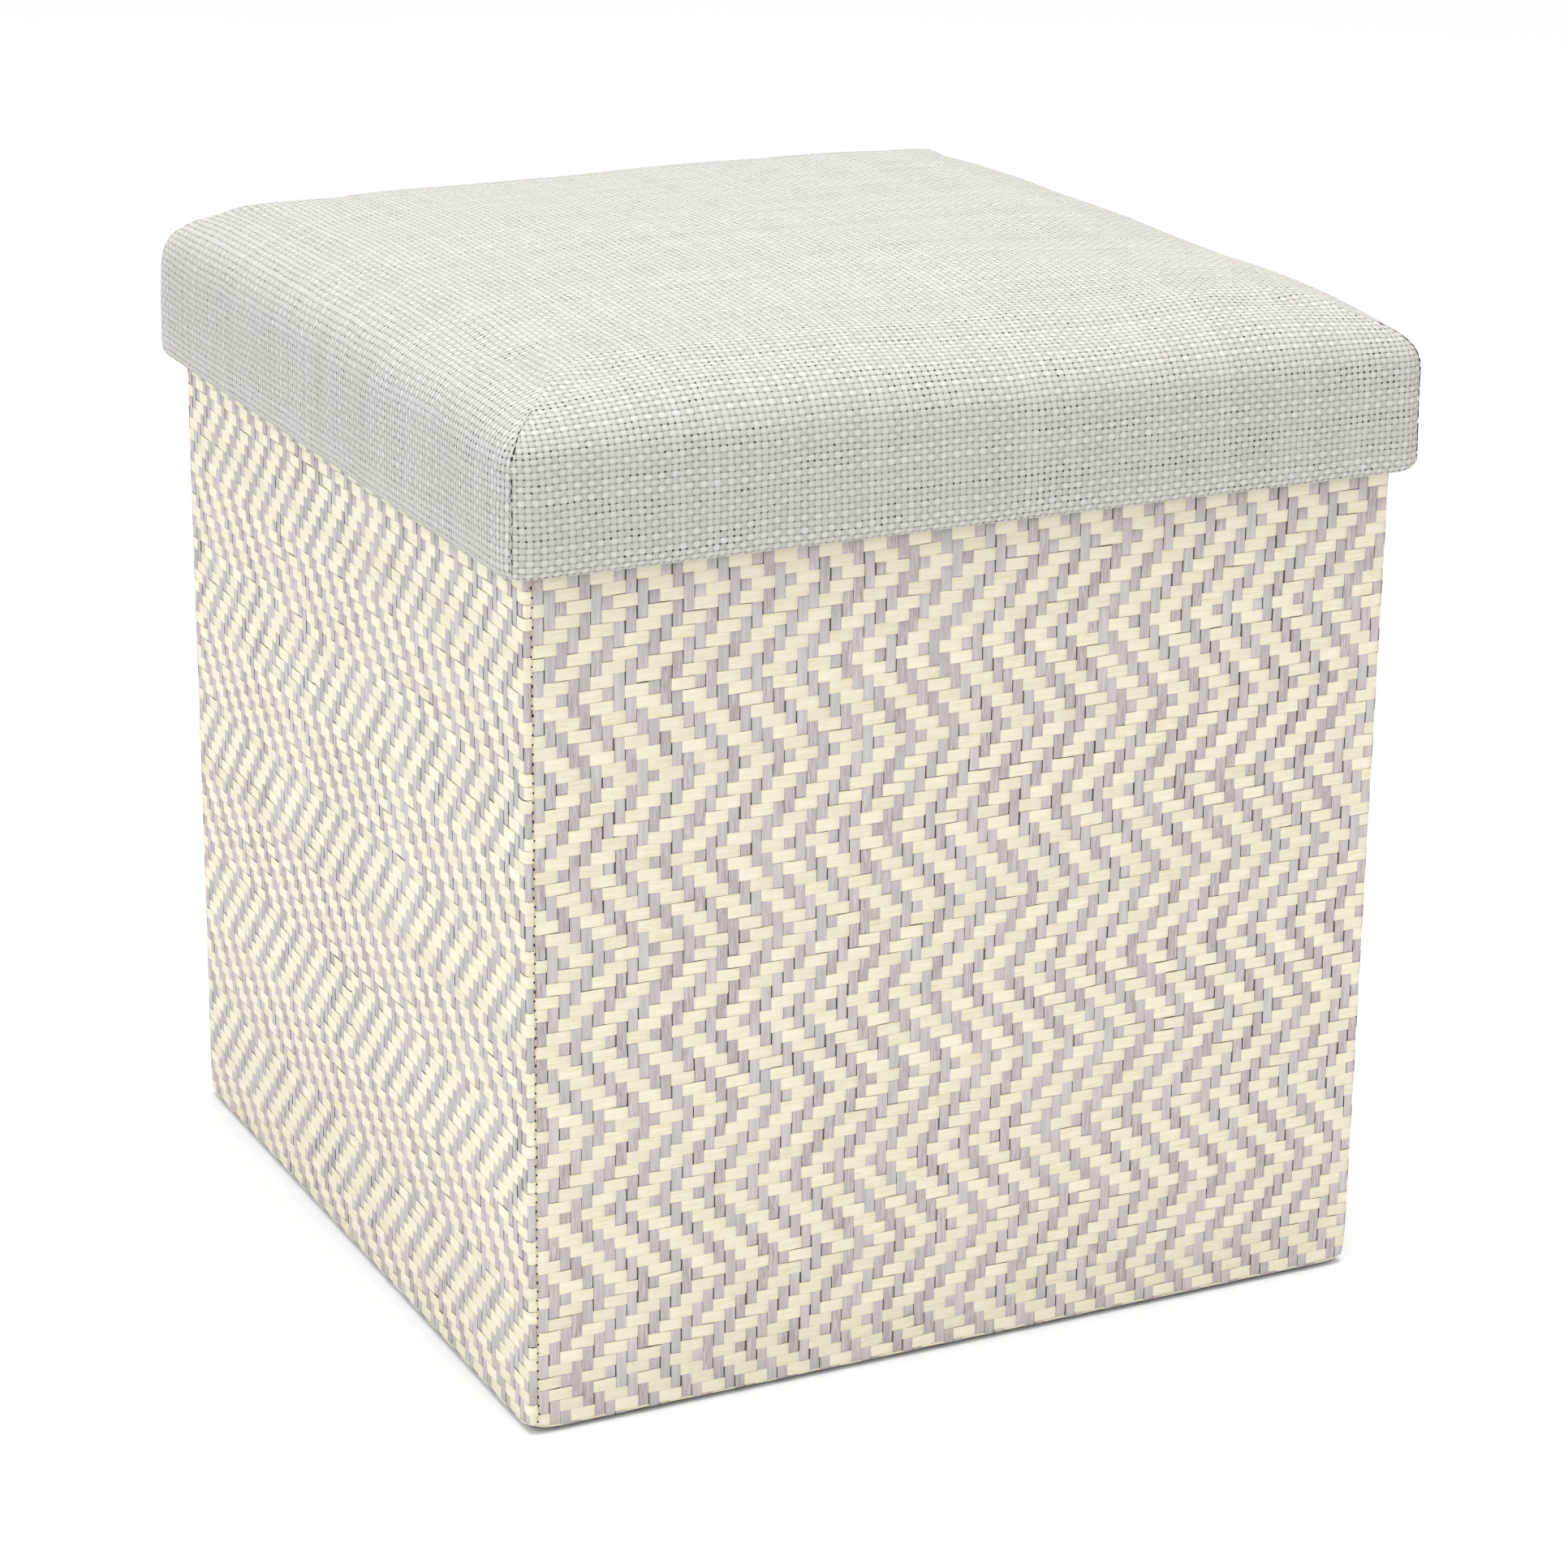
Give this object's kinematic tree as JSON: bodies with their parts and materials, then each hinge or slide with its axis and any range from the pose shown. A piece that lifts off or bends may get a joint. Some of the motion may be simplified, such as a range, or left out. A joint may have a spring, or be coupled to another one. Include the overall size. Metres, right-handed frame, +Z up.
{
  "type": "ottoman with storage",
  "caption": "Square storage ottoman: a woven box whose side walls crease so that it folds flat, under a padded lift-off lid with a deep skirt.",
  "frame": {"origin": "on the floor, under the middle of the box", "axes": "+Z up, -Y towards the front wall, +X towards the right wall; the creased walls face -X and +X"},
  "size_m": [0.4, 0.4, 0.424],
  "materials": {
    "paper_weave": "matte",
    "lid_weave": "matte",
    "board": "matte",
    "lining": "matte",
    "binding": "matte",
    "foam": "matte",
    "wadding": "matte",
    "thread": "matte",
    "bottom_cloth": "matte"
  },
  "bodies": {
    "back_wall": {"back_board": "board", "back_lining": "lining", "back_right_corner_stitching": "thread", "back_top_binding": "binding", "back_weave": "paper_weave", "bottom_board": "board", "bottom_cloth": "bottom_cloth", "bottom_lining": "lining"},
    "front_wall": {"front_board": "board", "front_left_corner_stitching": "thread", "front_lining": "lining", "front_top_binding": "binding", "front_weave": "paper_weave"},
    "left_front": {"left_front_board": "board", "left_front_lining": "lining", "left_front_top_binding": "binding", "left_front_weave": "paper_weave"},
    "left_rear": {"left_rear_board": "board", "left_rear_lining": "lining", "left_rear_top_binding": "binding", "left_rear_weave": "paper_weave"},
    "lid": {"lid_board": "board", "lid_corner_seams": "thread", "lid_cover": "lid_weave", "lid_foam": "foam", "lid_lining": "lining", "lid_skirt_board_back": "board", "lid_skirt_board_front": "board", "lid_skirt_board_left": "board", "lid_skirt_board_right": "board", "lid_skirt_padding": "wadding"},
    "right_front": {"right_front_board": "board", "right_front_lining": "lining", "right_front_top_binding": "binding", "right_front_weave": "paper_weave"},
    "right_rear": {"right_rear_board": "board", "right_rear_lining": "lining", "right_rear_top_binding": "binding", "right_rear_weave": "paper_weave"}
  },
  "joints": [
    {"name": "lid_lift", "type": "slide", "parent": "back_wall", "child": "lid", "axis": [0, 0, 1], "range_m": [0, 0.12]},
    {"name": "left_rear_fold", "type": "hinge", "parent": "back_wall", "child": "left_rear", "pos_m": [-0.1833, 0.1833, 0.2], "axis": [0, 0, 1], "range_deg": [0, 88]},
    {"name": "left_crease", "type": "hinge", "parent": "left_rear", "child": "left_front", "pos_m": [-0.1903, 0, 0.2], "axis": [0, 0, 1], "range_deg": [-176, 0]},
    {"name": "left_front_corner", "type": "hinge", "parent": "left_front", "child": "front_wall", "pos_m": [-0.1833, -0.1833, 0.2], "axis": [0, 0, 1], "range_deg": [0, 88]},
    {"name": "right_rear_fold", "type": "hinge", "parent": "back_wall", "child": "right_rear", "pos_m": [0.1833, 0.1833, 0.2], "axis": [0, 0, 1], "range_deg": [-88, 0]},
    {"name": "right_front_corner", "type": "hinge", "parent": "front_wall", "child": "right_front", "pos_m": [0.1833, -0.1833, 0.2], "axis": [0, 0, 1], "range_deg": [0, 88]}
  ],
  "couplings": [
    {"joint": "left_crease", "follows": "left_rear_fold", "ratio": -2},
    {"joint": "left_front_corner", "follows": "left_rear_fold", "ratio": 1},
    {"joint": "right_rear_fold", "follows": "left_rear_fold", "ratio": -1},
    {"joint": "right_front_corner", "follows": "left_rear_fold", "ratio": 1}
  ]
}
